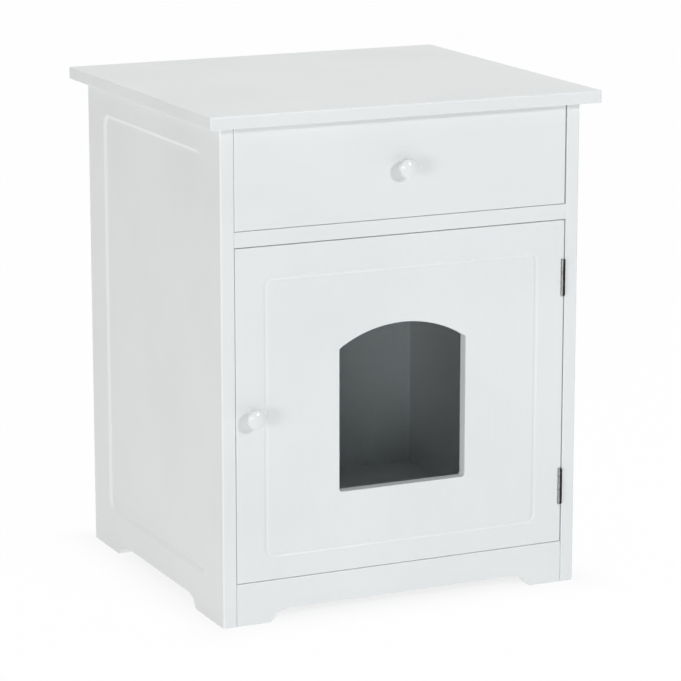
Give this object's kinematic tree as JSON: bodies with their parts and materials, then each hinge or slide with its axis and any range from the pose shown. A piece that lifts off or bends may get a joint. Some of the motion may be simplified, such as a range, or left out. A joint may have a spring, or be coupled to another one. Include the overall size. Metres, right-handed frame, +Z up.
{
  "type": "litter box enclosure",
  "caption": "White painted cabinet that hides a litter tray, with a drawer above and a side-hung door with an arched pet opening below.",
  "frame": {"origin": "on the floor, under the middle of the object's outline", "axes": "+X to the right seen from the front, +Y from the front to the back, +Z up"},
  "size_m": [0.53, 0.48, 0.64],
  "materials": {
    "painted_board": "satin white paint on fibreboard",
    "back_board": "white faced hardboard",
    "drawer_board": "white faced fibreboard",
    "gloss_knob": "gloss white paint on turned wood",
    "nickel_hinge": "nickel plated steel",
    "white_runner": "white epoxy on rolled steel",
    "roller_plastic": "moulded nylon",
    "zinc_fixing": "bright zinc plated steel",
    "beech_dowel": "bare beech",
    "catch_plastic": "moulded white plastic",
    "ferrite_magnet": "dark sintered ferrite"
  },
  "bodies": {
    "cabinet": {"top_board": "painted_board", "left_side_panel": "painted_board", "right_side_panel": "painted_board", "floor_panel": "painted_board", "front_apron": "painted_board", "drawer_shelf": "painted_board", "back_panel": "back_board", "upper_hinge_frame_leaf": "nickel_hinge", "lower_hinge_frame_leaf": "nickel_hinge", "upper_hinge_pin": "nickel_hinge", "lower_hinge_pin": "nickel_hinge", "hinge_frame_screws": "nickel_hinge", "left_cabinet_runner": "white_runner", "right_cabinet_runner": "white_runner", "cam_bolts": "zinc_fixing", "cam_locks": "zinc_fixing", "back_panel_screws": "zinc_fixing", "cabinet_roller_axles": "zinc_fixing", "cabinet_runner_screws": "zinc_fixing", "catch_screws": "zinc_fixing", "catch_pole_plates": "zinc_fixing", "panel_dowels": "beech_dowel", "catch_housing": "catch_plastic", "catch_magnet": "ferrite_magnet"},
    "door": {"door_panel": "painted_board", "door_knob": "gloss_knob", "door_knob_screw": "zinc_fixing", "upper_hinge_door_leaf": "nickel_hinge", "lower_hinge_door_leaf": "nickel_hinge", "hinge_door_screws": "nickel_hinge", "strike_plate": "zinc_fixing", "strike_plate_screws": "zinc_fixing"},
    "drawer": {"drawer_front": "painted_board", "drawer_left_side": "drawer_board", "drawer_right_side": "drawer_board", "drawer_back": "drawer_board", "drawer_bottom": "back_board", "drawer_knob": "gloss_knob", "drawer_knob_screw": "zinc_fixing", "left_drawer_runner": "white_runner", "right_drawer_runner": "white_runner", "drawer_roller_axles": "zinc_fixing", "drawer_runner_screws": "zinc_fixing", "drawer_cam_bolts": "zinc_fixing", "drawer_cam_locks": "zinc_fixing", "drawer_back_screws": "zinc_fixing", "drawer_bottom_screws": "zinc_fixing"},
    "left_front_roller_body": {"left_front_roller": "roller_plastic"},
    "left_rear_roller_body": {"left_rear_roller": "roller_plastic"},
    "right_front_roller_body": {"right_front_roller": "roller_plastic"},
    "right_rear_roller_body": {"right_rear_roller": "roller_plastic"}
  },
  "joints": [
    {"name": "door_hinge", "type": "hinge", "parent": "cabinet", "child": "door", "pos_m": [0.224, -0.221, 0.26475], "axis": [0, 0, 1], "range_deg": [0, 180]},
    {"name": "drawer_slide", "type": "slide", "parent": "cabinet", "child": "drawer", "axis": [0, -1, 0], "range_m": [0, 0.3]},
    {"name": "left_front_roller_spin", "type": "hinge", "parent": "cabinet", "child": "left_front_roller_body", "pos_m": [-0.22155, -0.192, 0.50985], "axis": [1, 0, 0], "range_deg": [0, 2160]},
    {"name": "left_rear_roller_spin", "type": "hinge", "parent": "drawer", "child": "left_rear_roller_body", "pos_m": [-0.2198, 0.18, 0.50985], "axis": [1, 0, 0], "range_deg": [0, 2160]},
    {"name": "right_front_roller_spin", "type": "hinge", "parent": "cabinet", "child": "right_front_roller_body", "pos_m": [0.22155, -0.192, 0.50985], "axis": [1, 0, 0], "range_deg": [0, 2160]},
    {"name": "right_rear_roller_spin", "type": "hinge", "parent": "drawer", "child": "right_rear_roller_body", "pos_m": [0.2198, 0.18, 0.50985], "axis": [1, 0, 0], "range_deg": [0, 2160]}
  ],
  "couplings": [
    {"joint": "left_front_roller_spin", "follows": "drawer_slide", "rad_per_m": 125},
    {"joint": "left_rear_roller_spin", "follows": "drawer_slide", "rad_per_m": 125},
    {"joint": "right_front_roller_spin", "follows": "drawer_slide", "rad_per_m": 125},
    {"joint": "right_rear_roller_spin", "follows": "drawer_slide", "rad_per_m": 125}
  ]
}
